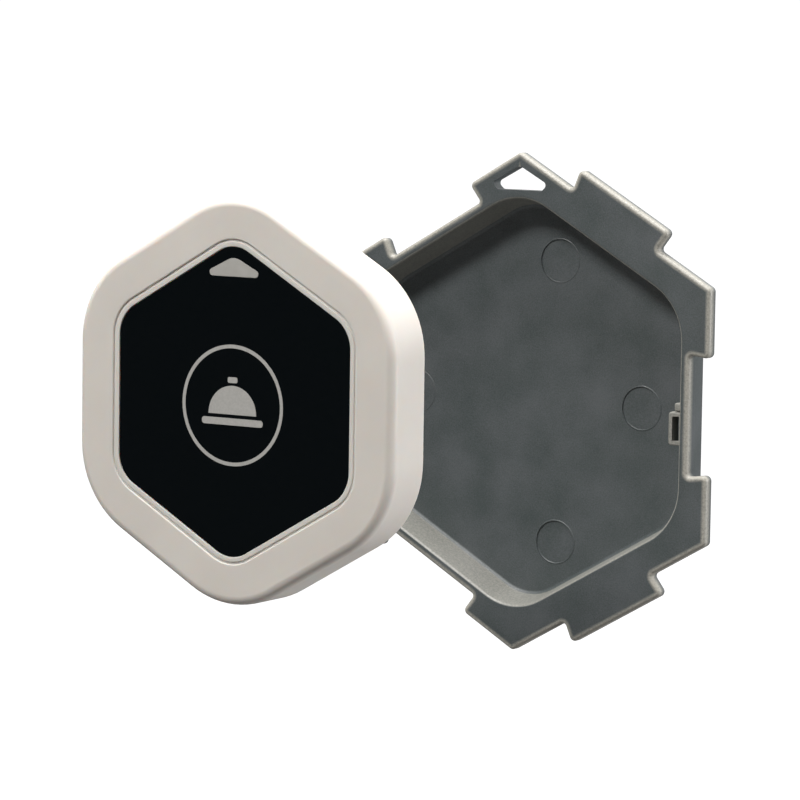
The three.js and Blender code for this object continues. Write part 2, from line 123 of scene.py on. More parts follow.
# The bracket's painted highlight: paler beige plastic along the flange's edges, the lip and the inner walls,
# where light catches them, and round the grip loop, partly wear on the loop and partly a painted highlight on
# its rib.
PALE_WIDTH, PALE_DEPTH = 1.05, 1.2  # how far it runs in from the flange's outline and down its side
PALE_STRENGTH = 1.8  # over 1 keeps the outer part of that width fully pale
LIP_PALENESS, WALL_PALENESS, LOOP_PALENESS = 0.6, 0.5, 0.6
LIP_TOP_SHARE, LIP_FOOT_SHARE = 0.04, 0.9  # the part of the lip's round that carries the painted highlight
LOOP_MARGIN, RIB_MARGIN = 0.1, 0.2  # round the loop and its rib
WALL_FACING = -0.7  # a wall's normal against the way out from the middle

# Transmitter, measured from its own back face.
CASE_DEPTH = 10.0
CASE_APOTHEM, CASE_CORNER = 31.0, 16.5
CASE_BACK_ROUND, CASE_FRONT_ROUND = 1.2, 1.6
CASE_STEPS = 9  # facets round the case's edges
OPENING_APOTHEM, OPENING_CORNER, OPENING_EDGE = 23.85, 7.0, 0.26
INNER_APOTHEM, SEAT_APOTHEM, SEAT_TOP = 28.2, 29.4, 2.9
FRONT_WALL = 1.6
INSIDE_FILLET, INSIDE_EDGE, BACK_RIM_EDGE = 0.3, 0.1, 0.12
COVER_APOTHEM, COVER_CORNER, COVER_THICKNESS = 29.2, 14.7, 1.5
COVER_BACK_EDGE, COVER_FRONT_EDGE = 0.3, 0.2
BOSS_ORBIT = 27.6
BOSS_TURNS = (90, 210, 330)
STICKER_HALF_WIDTH, STICKER_HALF_HEIGHT, STICKER_ROUND = 15, 9, 1.5
STICKER_BACK, STICKER_FRONT, STICKER_EDGE = 0.02, 0.15, 0.04
STICKER_SEAT, STICKER_MARGIN = 0.2, 0.15

# Cover screws: (radius, height) from the bottom to the top of the cutter or screw.
SCREW_HOLE = [(1.25, -1), (1.25, 3)]
SCREW_SEAT = [(2.6, -1), (2.6, -0.001), (2.35, 0.25), (2.35, 0.85)]
SCREW_HEAD = [(1.5, 0.05), (1.8, 0.1), (2.0, 0.22), (2.1, 0.42), (2.1, 0.8)]
SCREW_SHANK = [(0.8, 0.8), (0.8, 6.0), (0.4, 6.3)]
CROSS_HALF_LENGTH, CROSS_HALF_WIDTH, CROSS_ROUND, CROSS_DEPTH = 1.25, 0.26, 0.1, 0.5

# Press panel, in the transmitter's own heights.
PLATE_BACK, PLATE_FRONT = 8.6, 9.9
PLATE_APOTHEM, PLATE_CORNER, PLATE_EDGE = 23.55, 6.7, 0.2
LEDGE_GAP, LEDGE_TOP = 0.02, 9.7  # a step on the plate's edge that closes the groove round it
LABEL_APOTHEM, LABEL_CORNER, LABEL_EDGE = 22.6, 5.6, 0.08
LABEL_RECESS, LABEL_THICKNESS = 0.4, 0.25
LABEL_GLUE = 0.05
LABEL_BACK = PLATE_FRONT - LABEL_RECESS + LABEL_GLUE
LABEL_TOP = LABEL_BACK + LABEL_THICKNESS
LABEL_MARGIN = 0.1  # between the label and the side of its recess
SMALL_EDGE, TINY_EDGE = 0.1, 0.05
WINDOW_FOOT, WINDOW_APEX, WINDOW_HALF_WIDTH = 20.4, 23.7, 6.8
WINDOW_ROUND, WINDOW_APEX_ROUNDER = 0.6, 4
WINDOW_SINK, WINDOW_EDGE = 0.3, 0.06
PLATE_WINDOW_MARGIN, LABEL_WINDOW_MARGIN = 0.2, 0.06

# The print on the label: a ring round a reception bell.
LEGEND_UP = -0.5
PRINT_SINK, PRINT_RISE = 0.01, 0.025
RING_RADIUS, RING_STROKE, RING_STEPS = 9.9, 0.6, 128
DOME_RADIUS, DOME_FOOT, DOME_STEPS = 4.7, -1.5, 40
BASE_HALF_WIDTH, BASE_TOP, BASE_HEIGHT, BASE_ROUND = 6.0, -2.1, 1.15, 0.5
KNOB_HALF_WIDTH, KNOB_HEIGHT, KNOB_GAP, KNOB_ROUND = 0.95, 0.95, 0.45, 0.3

# Camera: a long lens to the right of the bracket's axis and a little above it.
LENS, SENSOR = 180.0, 36.0
CAMERA_AZIMUTH, CAMERA_ELEVATION, CAMERA_ROLL = 32.376, 5.969, 0.831
CAMERA_DISTANCE = 0.7242
AIM = (-0.0177, -0.0193, 0.0002)
NEAREST, FARTHEST = 0.01, 50

# Softboxes: (name, place, side length, watts, colour), all aimed at one point.
SOFTBOXES = [
    ("key", (-0.26, -1.1, 1.12), 0.36, 19.4, (1, 0.985, 0.96)),
    ("rim", (-0.02, -0.1, 0.85), 0.3, 9.0, (1, 0.99, 0.975)),
    ("side", (0.95, 0.3, 0.05), 0.4, 6.6, (1, 1, 1)),
]
SOFTBOX_AIM = (0, -0.03, 0)

# The light tent: (axis, from, to, least, most) shares of radiance along an axis of the sky, added up.
TENT = [("Y", -0.1, 0.65, 0.01, 0.9), ("Z", 0.5, 1.0, 0.0, 0.3)]
BACKDROP = 1.05  # the brightness of the tent as the camera sees it
FLOOR_DROP, FLOOR_SIZE = 0.12, 12


# --- outlines --------------------------------------------------------------------------------


def fillet_path(corners, steps=FILLET_STEPS, closed=True):
    """Points through (x, y, radius) corners, each corner turned by an arc of that radius."""
    points = []
    count = len(corners)
    for i, (x, y, radius) in enumerate(corners):
        here = Vector((x, y))
        if radius == 0 or (not closed and i in (0, count - 1)):
            points.append((x, y))
            continue
        before = (Vector(corners[i - 1][:2]) - here).normalized()
        after = (Vector(corners[(i + 1) % count][:2]) - here).normalized()
        half = before.angle(after) / 2
        reach = radius / math.tan(half)
        centre = here + (before + after).normalized() * (radius / math.sin(half))
        start = here + before * reach - centre
        end = here + after * reach - centre
        sweep = start.angle_signed(end)
        for step in range(steps + 1):
            spoke = Matrix.Rotation(-sweep * step / steps, 2) @ start
            points.append(tuple(centre + spoke))
    return points


def inset(corners, distance):
    """The same rounded outline, given anticlockwise, moved inwards by a distance all round."""
    moved = []
    count = len(corners)
    for i, (x, y, radius) in enumerate(corners):
        here = Vector((x, y))
        along = (here - Vector(corners[i - 1][:2])).normalized()
        onward = (Vector(corners[(i + 1) % count][:2]) - here).normalized()
        inward = Vector((-along.y, along.x)) + Vector((-onward.y, onward.x))
        place = here + inward * (distance / (1 + along.dot(onward)))
        changed = radius - math.copysign(distance, along.cross(onward))
        moved.append((*place, max(changed, LEAST_RADIUS)))
    return moved


def hexagon(apothem, corner, steps=CORNER_STEPS):
    """Points of a hexagon with rounded corners, a point up, anticlockwise."""
    orbit = (apothem - corner) / math.cos(SIDE_TURN / 2)
    points = []
    for side in range(SIDES):
        middle = SIDE_TURN * (side + 0.5)
        centre_x, centre_y = orbit * math.cos(middle), orbit * math.sin(middle)
        for step in range(steps + 1):
            angle = middle + SIDE_TURN * (step / steps - 0.5)
            points.append((centre_x + corner * math.cos(angle), centre_y + corner * math.sin(angle)))
    return points


def shrinking_corner(apothem, corner):
    """A rule for the corner radius of a hexagon's other rings, which keeps them an even distance apart."""

    def corner_at(ring_apothem):
        return max(LEAST_CORNER, corner - (apothem - ring_apothem))

    return corner_at


def rectangle(left, bottom, right, top, radius):
    """The corners of a rounded rectangle, anticlockwise."""
    return [(left, bottom, radius), (right, bottom, radius), (right, top, radius), (left, top, radius)]


def circle(radius, centre=(0, 0), steps=64):
    turns = [2 * math.pi * step / steps for step in range(steps)]
    return [(centre[0] + radius * math.cos(t), centre[1] + radius * math.sin(t)) for t in turns]


def polar(orbit, degrees):
    return orbit * math.cos(math.radians(degrees)), orbit * math.sin(math.radians(degrees))


# --- meshes ----------------------------------------------------------------------------------


def new_object(name, bm):
    mesh = bpy.data.meshes.new(name)
    bmesh.ops.recalc_face_normals(bm, faces=bm.faces)
    bm.to_mesh(mesh)
    bm.free()
    made = bpy.data.objects.new(name, mesh)
    bpy.context.scene.collection.objects.link(made)
    return made


def loft(name, rings, closed=False):
    """A surface through rings of (points, height), capped at its ends or joined from last to first."""
    bm = bmesh.new()
    rows = [[bm.verts.new((x, y, height)) for x, y in points] for points, height in rings]
    pairs = list(zip(rows, rows[1:])) + ([(rows[-1], rows[0])] if closed else [])
    for low, high in pairs:
        for i in range(len(low)):
            j = (i + 1) % len(low)
            bm.faces.new((low[i], low[j], high[j], high[i]))
    if not closed:
        bm.faces.new(reversed(rows[0]))
        bm.faces.new(rows[-1])
    return new_object(name, bm)


def hexagon_lathe(name, profile, corner_at, closed=False, steps=FILLET_STEPS):
    """Carries an (apothem, height, fillet) profile round a hexagon, with a rule for its corner radius."""
    path = fillet_path(profile, steps, closed)
    return loft(name, [(hexagon(a, corner_at(a)), h) for a, h in path], closed)


def slab(name, corners, back, front, edge=0.0, steps=FILLET_STEPS, border=0.0):
    """A rounded outline with thickness and rounded edges. A border is a flat strip round the front."""
    rings = []
    for step in range((steps if edge else 0) + 1):
        angle = math.pi / 2 * step / steps
        rings.append((edge * (1 - math.sin(angle)), back + edge * (1 - math.cos(angle))))
    rings += [(shrink, back + front - height) for shrink, height in reversed(rings)]
    if border:
        rings.append((border, front))
    return loft(name, [(fillet_path(inset(corners, d), OUTLINE_STEPS), h) for d, h in rings])


def lathe(name, profile, centre=(0, 0), steps=48):
    """A round solid through (radius, height) points, from the bottom to the top."""
    return loft(name, [(circle(radius, centre, steps), height) for radius, height in profile])


def combine(base, operation, *tools):
    """Applies exact booleans to base and removes the tools."""
    for tool in tools:
        modifier = base.modifiers.new(operation, "BOOLEAN")
        modifier.operation = operation
        modifier.object = tool
        modifier.solver = "EXACT"
    apply_modifiers(base)
    for tool in tools:
        bpy.data.objects.remove(tool)


def apply_modifiers(piece):
    graph = bpy.context.evaluated_depsgraph_get()
    mesh = bpy.data.meshes.new_from_object(piece.evaluated_get(graph))
    piece.modifiers.clear()
    old = piece.data
    piece.data = mesh
    bpy.data.meshes.remove(old)
    mesh.name = piece.name


def merge(name, pieces):
    """Several closed meshes as one object."""
    bm = bmesh.new()
    for piece in pieces:
        bm.from_mesh(piece.data)
        bpy.data.objects.remove(piece)
    return new_object(name, bm)


def smooth(piece, sharp_degrees=32):
    """Smooth faces, with the big flat ones kept flat and the corners over an angle kept sharp."""
    bm = bmesh.new()
    bm.from_mesh(piece.data)
    bmesh.ops.remove_doubles(bm, verts=bm.verts, dist=1e-7 / MM)
    bm.to_mesh(piece.data)
    bm.free()
    for polygon in piece.data.polygons:
        polygon.use_smooth = True
    piece.data.set_sharp_from_angle(angle=math.radians(sharp_degrees))
    weighted = piece.modifiers.new("weighted", "WEIGHTED_NORMAL")
    weighted.keep_sharp = True


def stand_up(piece, origin):
    """Turns a face-up piece in millimetres to the frame's axes and metres, and moves its back to a place."""
    turn = Matrix.Translation(origin) @ Matrix.Rotation(math.pi / 2, 4, "X") @ Matrix.Scale(MM, 4)
    piece.data.transform(turn)


def finished(piece, origin, body, slot, nodes=(), material=None):
    """Stands a piece up, dresses it as its slot unless it has its own material, and hands it to the frame."""
    smooth(piece)
    stand_up(piece, origin)
    piece.data.materials.clear()
    piece.data.materials.append(material or MATERIALS[slot])
    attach(piece, body)
    if nodes:
        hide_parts(*nodes)


# --- materials -------------------------------------------------------------------------------


class Shader:
    """A Principled material with the few node chains that the looks share."""

    def __init__(self, name, **sockets):
        self.material = bpy.data.materials.new(name)
        self.material.use_nodes = True
        self.tree = self.material.node_tree
        self.principled = self.tree.nodes["Principled BSDF"]
        for socket, value in sockets.items():
            self.principled.inputs[socket.replace("_", " ")].default_value = value
        self.place = self.node("ShaderNodeTexCoord").outputs["Object"]

    def node(self, kind, **values):
        made = self.tree.nodes.new(kind)
        for key, value in values.items():
            setattr(made, key, value)
        return made

    def link(self, source, target):
        self.tree.links.new(source, target)

    def noise(self, size_mm, detail=3.0, roughness=0.5):
        made = self.node("ShaderNodeTexNoise")
        made.inputs["Scale"].default_value = 1 / (size_mm * MM)
        made.inputs["Detail"].default_value = detail
        made.inputs["Roughness"].default_value = roughness
        self.link(self.place, made.inputs["Vector"])
        return made.outputs["Fac"]

    def cells(self, size_mm):
        made = self.node("ShaderNodeTexVoronoi")
        made.inputs["Scale"].default_value = 1 / (size_mm * MM)
        self.link(self.place, made.inputs["Vector"])
        return made.outputs["Distance"]

    def mixed(self, first, second, share):
        made = self.node("ShaderNodeMix", data_type="FLOAT")
        made.inputs["Factor"].default_value = share
        self.link(first, made.inputs["A"])
        self.link(second, made.inputs["B"])
        return made.outputs["Result"]

    def ramp(self, source, start, low, end, high):
        made = self.node("ShaderNodeValToRGB")
        for element, position, colour in zip(made.color_ramp.elements, (start, end), (low, high)):
            element.position = position
            element.color = (*colour, 1)
        self.link(source, made.inputs["Fac"])
        return made.outputs["Color"]

    def colour(self, source, low, high, start=0.3, end=0.7):
        self.link(self.ramp(source, start, low, end, high), self.principled.inputs["Base Color"])

    def blend_by_attribute(self, attribute, colour, patchiness):
        """Mixes in a second colour where a stored attribute of the mesh is high, unevenly by a noise."""
        base = self.principled.inputs["Base Color"].links[0].from_socket
        stored = self.node("ShaderNodeAttribute", attribute_name=attribute)
        share = self.node("ShaderNodeMath", operation="MULTIPLY")
        self.link(stored.outputs["Fac"], share.inputs[0])
        self.link(self.spread(patchiness, 0.6, 1.25), share.inputs[1])
        mix = self.node("ShaderNodeMix", data_type="RGBA")
        first, second = mix.inputs[6], mix.inputs[7]
        self.link(share.outputs[0], mix.inputs["Factor"])
        self.link(base, first)
        second.default_value = (*colour, 1)
        self.link(mix.outputs[2], self.principled.inputs["Base Color"])

    def spread(self, source, low, high):
        """Stretches the middle of a noise to a range."""
        made = self.node("ShaderNodeMapRange")
        for socket, value in zip(("From Min", "From Max", "To Min", "To Max"), (0.3, 0.7, low, high)):
            made.inputs[socket].default_value = value
        self.link(source, made.inputs["Value"])
        return made.outputs["Result"]

    def roughness(self, source, low, high):
        self.link(self.spread(source, low, high), self.principled.inputs["Roughness"])

    def bump(self, *layers):
        """Stacks (height source, depth in millimetres) layers on the normal."""
        normal = None
        for source, depth_mm in layers:
            made = self.node("ShaderNodeBump")
            made.inputs["Distance"].default_value = depth_mm * MM
            self.link(source, made.inputs["Height"])
            if normal:
                self.link(normal, made.inputs["Normal"])
            normal = made.outputs["Normal"]
        self.link(normal, self.principled.inputs["Normal"])


def bracket_plastic():
    """Mid-grey ABS from a spark-eroded mould: a fine even grain, faint flow marks, and a painted highlight
    that draws its edges, lip and walls paler.
    """
    s = Shader("bracket_plastic", Specular_IOR_Level=0.6)
    clouds = s.mixed(s.noise(9, 4), s.noise(0.26, 2, 0.8), 0.55)
    s.colour(clouds, (0.056, 0.07, 0.07), (0.106, 0.117, 0.124), 0.38, 0.62)
    # painted highlight: a paler beige where the pale attribute is high, along the edges, lip and walls and
    # round the loop and its rib
    s.blend_by_attribute("pale", (0.41, 0.394, 0.348), s.noise(0.4, 2, 0.7))
    s.roughness(s.noise(4, 3), 0.4, 0.5)
    s.bump((s.noise(0.35, 2, 0.6), 0.03), (s.noise(2.4, 2), 0.02))
    return s.material


def case_plastic():
    """Warm off-white ABS with a fine satin skin."""
    s = Shader("case_plastic", Specular_IOR_Level=0.45, Subsurface_Weight=0.3, Subsurface_Scale=0.0015)
    s.principled.inputs["Subsurface Radius"].default_value = (1.0, 0.6, 0.4)
    s.colour(s.noise(14, 3), (0.74, 0.695, 0.645), (0.775, 0.735, 0.685))
    s.roughness(s.noise(3, 3), 0.4, 0.5)
    s.bump((s.noise(0.16, 2, 0.6), 0.004), (s.noise(6, 2), 0.02))
    return s.material


def label_film():
    """Black printed film with a satin face and a few specks of dust."""
    s = Shader("label_film", Specular_IOR_Level=0.1)
    s.colour(s.cells(0.9), (0.05, 0.055, 0.06), (0.0012, 0.0026, 0.0036), 0.0, 0.035)
    s.roughness(s.noise(0.5, 3), 0.38, 0.5)
    s.bump((s.noise(0.12, 2), 0.002))
    return s.material


def print_ink():
    """Silver-grey screen print, slightly uneven."""
    s = Shader("print_ink", Specular_IOR_Level=0.3)
    s.colour(s.noise(0.3, 2), (0.44, 0.435, 0.415), (0.5, 0.49, 0.47))
    s.roughness(s.noise(0.5), 0.42, 0.5)
    return s.material


def board_laminate():
    """Green solder mask, darker over the bare glass and lighter over its copper tracks."""
    s = Shader("board_laminate", Specular_IOR_Level=0.5)
    s.colour(s.cells(1.1), (0.012, 0.085, 0.035), (0.03, 0.16, 0.07))
    s.roughness(s.noise(0.8), 0.25, 0.4)
    s.bump((s.cells(1.1), 0.01))
    return s.material


def simple(name, low, high, rough, **sockets):
    """A material with faint mottling, a little unevenness in its gloss and a fine grain."""
    s = Shader(name, **sockets)
    s.colour(s.noise(2.5), low, high)
    s.roughness(s.noise(1.2), *rough)
    s.bump((s.noise(0.3), 0.003))
    return s.material


def metal(name, low, high, rough):
    return simple(name, low, high, rough, Metallic=1.0)


MATERIALS = {
    "bracket_plastic": bracket_plastic(),
    "case_plastic": case_plastic(),
    "label_film": label_film(),
    "window_plastic": simple("window_plastic", (0.45, 0.44, 0.41), (0.5, 0.49, 0.465), (0.3, 0.4)),
    "seal_rubber": simple("seal_rubber", (0.016, 0.016, 0.017), (0.026, 0.026, 0.028), (0.6, 0.75)),
    "sticker_film": simple("sticker_film", (0.68, 0.68, 0.66), (0.74, 0.74, 0.72), (0.5, 0.6)),
    "board_laminate": board_laminate(),
    "chip_resin": simple("chip_resin", (0.01, 0.01, 0.011), (0.018, 0.018, 0.018), (0.5, 0.65)),
    "cell_steel": metal("cell_steel", (0.58, 0.58, 0.56), (0.66, 0.66, 0.64), (0.22, 0.34)),
    "contact_brass": metal("contact_brass", (0.7, 0.5, 0.2), (0.8, 0.6, 0.28), (0.2, 0.34)),
    "capacitor_case": simple("capacitor_case", (0.5, 0.28, 0.05), (0.6, 0.36, 0.08), (0.4, 0.5)),
    "screw_steel": metal("screw_steel", (0.46, 0.46, 0.47), (0.55, 0.55, 0.55), (0.25, 0.38)),
}
PRINT_INK = print_ink()


def dress_cad_nodes():
    for subpart in frame["record"]["subparts"]:
        node = frame["nodes"][subpart["node"]]
        node.data.materials.clear()
        node.data.materials.append(MATERIALS[subpart["material_slot"]])


# --- bracket ---------------------------------------------------------------------------------


def flange_corners():
    """A tab on every second side of the hexagon, and the recess that fits one on the sides between."""
    corners = []
    half_side = FLANGE_APOTHEM * math.tan(SIDE_TURN / 2)
    for side in range(SIDES):
        if side % 2:
            near, far, end = TAB_ROOT_HALF, TAB_TIP_HALF, FLANGE_APOTHEM + TAB_REACH
            near_round, far_round = TAB_ROOT_ROUND, TAB_TIP_ROUND
        else:
            near, far, end = RECESS_MOUTH_HALF, RECESS_FLOOR_HALF, FLANGE_APOTHEM - TAB_REACH
            near_round, far_round = RECESS_MOUTH_ROUND, RECESS_FLOOR_ROUND
        across = [
            (-near, FLANGE_APOTHEM, near_round),
            (-far, end, far_round),
            (far, end, far_round),
            (near, FLANGE_APOTHEM, near_round),
            (half_side, FLANGE_APOTHEM, APEX_ROUND),
        ]
        cos, sin = math.cos(side * SIDE_TURN), math.sin(side * SIDE_TURN)
        corners += [(out * cos - u * sin, out * sin + u * cos, radius) for u, out, radius in across]
    return corners


def cup():
    outer = MOUTH_APOTHEM + CUP_WALL
    profile = [
        (CORE, 0, 0),
        (outer - FLANGE_BACK * WALL_DRAFT, 0, CUP_FOOT_ROUND),
        (outer, FLANGE_BACK, CUP_TOP_ROUND),
        (outer, BRACKET_DEPTH - CUP_SINK, 0),
        (CORE, BRACKET_DEPTH - CUP_SINK, 0),
    ]
    return hexagon_lathe("cup", profile, shrinking_corner(outer, CUP_CORNER))


def cup_hollow():
    """The tray's inside, with a fillet round its floor and a flare that rounds its lip."""
    wall_top = MOUTH_APOTHEM - LIP_BITE
    floor_edge = MOUTH_APOTHEM - (BRACKET_DEPTH - FLOOR_THICKNESS) * WALL_DRAFT
    inside = [
        (CORE, FLOOR_THICKNESS, 0),
        (floor_edge, FLOOR_THICKNESS, FLOOR_FILLET),
        (wall_top, BRACKET_DEPTH - LIP_ROUND, 0),
    ]
    path = fillet_path(inside, closed=False)
    for step in range(1, FILLET_STEPS + 1):
        angle = math.pi / 2 * step / FILLET_STEPS
        out, below = LIP_ROUND * (1 - math.cos(angle)), LIP_ROUND * (1 - math.sin(angle))
        path.append((wall_top + out, BRACKET_DEPTH - below))
    above = BRACKET_DEPTH + MOUTH_CLEAR
    path += [(path[-1][0] + MOUTH_WIDENING, above), (CORE, above)]
    corner_at = shrinking_corner(MOUTH_APOTHEM, MOUTH_CORNER)
    return loft("hollow", [(hexagon(a, corner_at(a)), h) for a, h in path])


def grip_loop(side):
    """A bar held off the side wall by its two ends, with rounded edges all over, and a short rib above it."""
    wall = MOUTH_APOTHEM + CUP_WALL / 2
    low, high = LOOP_CENTRE_UP - LOOP_HALF_HEIGHT, LOOP_CENTRE_UP + LOOP_HALF_HEIGHT
    back, front = BRACKET_DEPTH - LOOP_DEPTH, BRACKET_DEPTH - LOOP_SINK

    def upright(near, far, bottom, top, radius):
        left, right = sorted((side * near, side * far))
        return rectangle(left, bottom, right, top, radius)

    outside = upright(LOOP_REACH, wall, low, high, LOOP_ROUND)
    inside = upright(LOOP_REACH + LOOP_BAR, MOUTH_APOTHEM, low + LOOP_BAR, high - LOOP_BAR, LOOP_SLOT_ROUND)
    loop = slab("grip", outside, back, front, LOOP_EDGE, SMALL_EDGE_STEPS)
    combine(loop, "DIFFERENCE", slab("slot", inside, back - CLEAR, front + CLEAR))
    rib_foot = high + RIB_GAP
    rib_outline = upright(MOUTH_APOTHEM - RIB_REACH, wall, rib_foot, rib_foot + RIB_LENGTH, RIB_ROUND)
    rib = slab("rib", rib_outline, back, front, RIB_EDGE, SMALL_EDGE_STEPS)
    return [loop, rib]


def ejector_flash(place):
    """The fine rim of plastic that an ejector pin leaves standing round its mark."""
    inner, outer = EJECTOR_RADIUS - FLASH_INSIDE, EJECTOR_RADIUS + FLASH_OUTSIDE
    root, top = FLOOR_THICKNESS - FLASH_ROOT, FLOOR_THICKNESS + FLASH_HEIGHT
    shoulder = FLOOR_THICKNESS + FLASH_SHOULDER
    crest = EJECTOR_RADIUS + FLASH_CREST
    profile = [(inner, root), (outer, root), (outer, shoulder), (crest, top), (inner, top)]
    return lathe("flash", profile, place, EJECTOR_STEPS)


def ejector_mark(place):
    foot = FLOOR_THICKNESS - EJECTOR_SINK
    profile = [
        (EJECTOR_RADIUS - MARK_CHAMFER, foot),
        (EJECTOR_RADIUS, foot + MARK_CHAMFER_HEIGHT),
        (EJECTOR_RADIUS, FLOOR_THICKNESS + MARK_CLEAR),
    ]
    return lathe("mark", profile, place, EJECTOR_STEPS)


def distance_to(outline, point):
    """The shortest distance from a point to a closed outline."""
    shortest = math.inf
    for start, end in zip(outline, outline[1:] + outline[:1]):
        along = end - start
        share = (point - start).dot(along) / max(along.length_squared, 1e-9)
        shortest = min(shortest, (start + along * min(1, max(0, share)) - point).length)
    return shortest


def paleness(vertex, outline):
    """How strongly the painted highlight makes the plastic paler at a vertex: most round the flange, less on
    the lip and walls.
    """
    place = vertex.co.xy
    depth = BRACKET_DEPTH - vertex.co.z
    beside_wall = LOOP_REACH - LOOP_MARGIN < abs(place.x) < MOUTH_APOTHEM + LIP_ROUND
    loop_and_rib = LOOP_HALF_HEIGHT + RIB_GAP + RIB_LENGTH + RIB_MARGIN
    if beside_wall and abs(place.y - LOOP_CENTRE_UP) < loop_and_rib and depth < LOOP_DEPTH:
        return LOOP_PALENESS
    inwards = 1 - distance_to(outline, place) / PALE_WIDTH
    if inwards > 0 and depth < PALE_DEPTH:
        return min(1, PALE_STRENGTH * inwards) * min(1, 2 * (1 - depth / PALE_DEPTH))
    if LIP_ROUND * LIP_TOP_SHARE < depth < LIP_ROUND * LIP_FOOT_SHARE:
        return LIP_PALENESS
    faces_middle = vertex.normal.xy.dot(place.normalized()) < WALL_FACING
    above_floor = vertex.co.z > FLOOR_THICKNESS + FLOOR_FILLET / 2
    return WALL_PALENESS if faces_middle and above_floor else 0.0


def mark_paleness(piece, outline):
    """Stores the painted highlight's paleness on each vertex, for the bracket's material."""
    outline = [Vector(point) for point in outline]
    pale = piece.data.attributes.new("pale", "FLOAT", "POINT")
    for vertex, value in zip(piece.data.vertices, pale.data):
        value.value = paleness(vertex, outline)


def bracket():
    outline = flange_corners()
    tray = slab("tray_moulding", outline, FLANGE_BACK, BRACKET_DEPTH, FLANGE_EDGE, border=PALE_WIDTH)
    combine(tray, "UNION", cup())
    combine(tray, "DIFFERENCE", cup_hollow())
    combine(tray, "DIFFERENCE", slab("hole", STRAP_HOLE, 0, BRACKET_DEPTH + CLEAR))
    combine(tray, "UNION", *[ejector_flash(place) for place in EJECTOR_PLACES])
    combine(tray, "DIFFERENCE", *[ejector_mark(place) for place in EJECTOR_PLACES])
    combine(tray, "UNION", *grip_loop(1), *grip_loop(-1))
    # painted highlight: stores where the plastic is drawn paler, as if catching the light
    mark_paleness(tray, fillet_path(outline, OUTLINE_STEPS))
    finished(tray, (0, 0, 0), "bracket", "bracket_plastic", ["bracket_tray"])


# --- transmitter -----------------------------------------------------------------------------


def case_corner(apothem):
    """The corner radius of the case's rings, from its outside to the edge of the press panel."""
    share = (CASE_APOTHEM - apothem) / (CASE_APOTHEM - OPENING_APOTHEM)
    return CASE_CORNER + (OPENING_CORNER - CASE_CORNER) * share


def transmitter_origin():
    """The middle of the case's back face, from the CAD housing."""
    low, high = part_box("front_housing")
    return (0, high.y, (low.z + high.z) / 2)


def case_front(origin):
    ceiling = CASE_DEPTH - FRONT_WALL
    profile = [
        (OPENING_APOTHEM, ceiling, INSIDE_EDGE),
        (INNER_APOTHEM, ceiling, INSIDE_FILLET),
        (INNER_APOTHEM, SEAT_TOP, INSIDE_EDGE),
        (SEAT_APOTHEM, SEAT_TOP, INSIDE_EDGE),
        (SEAT_APOTHEM, 0, BACK_RIM_EDGE),
        (CASE_APOTHEM, 0, CASE_BACK_ROUND),
        (CASE_APOTHEM, CASE_DEPTH, CASE_FRONT_ROUND),
        (OPENING_APOTHEM, CASE_DEPTH, OPENING_EDGE),
    ]
    piece = hexagon_lathe("case_front", profile, case_corner, True, CASE_STEPS)
    finished(piece, origin, "transmitter", "case_plastic", ["front_housing"])


def sticker_corners(margin=0.0):
    half_width, half_height = STICKER_HALF_WIDTH + margin, STICKER_HALF_HEIGHT + margin
    return rectangle(-half_width, -half_height, half_width, half_height, STICKER_ROUND)


def case_back(origin):
    """The screwed-on cover, with countersunk seats for its screws and a shallow one for the sticker."""
    profile = [
        (CORE, 0, 0),
        (COVER_APOTHEM, 0, COVER_BACK_EDGE),
        (COVER_APOTHEM, COVER_THICKNESS, COVER_FRONT_EDGE),
        (CORE, COVER_THICKNESS, 0),
    ]
    piece = hexagon_lathe("case_back", profile, shrinking_corner(COVER_APOTHEM, COVER_CORNER))
    places = [polar(BOSS_ORBIT, turn) for turn in BOSS_TURNS]
    cutters = [slab("recess", sticker_corners(STICKER_MARGIN), -CLEAR, STICKER_SEAT)]
    cutters += [lathe("hole", SCREW_HOLE, place) for place in places]
    cutters += [lathe("seat", SCREW_SEAT, place) for place in places]
    combine(piece, "DIFFERENCE", *cutters)
    finished(piece, origin, "transmitter", "case_plastic", ["back_cover"])


def rating_sticker(origin):
    piece = slab("blank_sticker", sticker_corners(), STICKER_BACK, STICKER_FRONT, STICKER_EDGE, 3)
    finished(piece, origin, "transmitter", "sticker_film", ["rating_sticker"])


def cover_screws(origin):
    for number, turn in enumerate(BOSS_TURNS, 1):
        x, y = polar(BOSS_ORBIT, turn)
        piece = lathe(f"cross_screw_{number}", SCREW_HEAD + SCREW_SHANK, (x, y))
        arms = []
        for w, h in ((CROSS_HALF_LENGTH, CROSS_HALF_WIDTH), (CROSS_HALF_WIDTH, CROSS_HALF_LENGTH)):
            arm = rectangle(x - w, y - h, x + w, y + h, CROSS_ROUND)
            arms.append(slab("arm", arm, -CLEAR, CROSS_DEPTH))
        combine(piece, "DIFFERENCE", *arms)
        finished(piece, origin, "transmitter", "screw_steel", [f"cover_screw_{number}"])


# --- press panel -----------------------------------------------------------------------------


def window_corners(margin=0.0):
    """The triangular window's outline, moved out by a margin all round."""
    slope = math.atan2(WINDOW_APEX - WINDOW_FOOT, WINDOW_HALF_WIDTH)
    half_width = WINDOW_HALF_WIDTH + margin / math.tan(slope / 2)
    foot, apex = WINDOW_FOOT - margin, WINDOW_APEX + margin / math.cos(slope)
    rounding = WINDOW_ROUND + margin
    top_rounding = WINDOW_APEX_ROUNDER * rounding
    return [(-half_width, foot, rounding), (half_width, foot, rounding), (0, apex, top_rounding)]


def window_cutter(margin):
    return slab("light", window_corners(margin), 0, CASE_DEPTH + CLEAR)


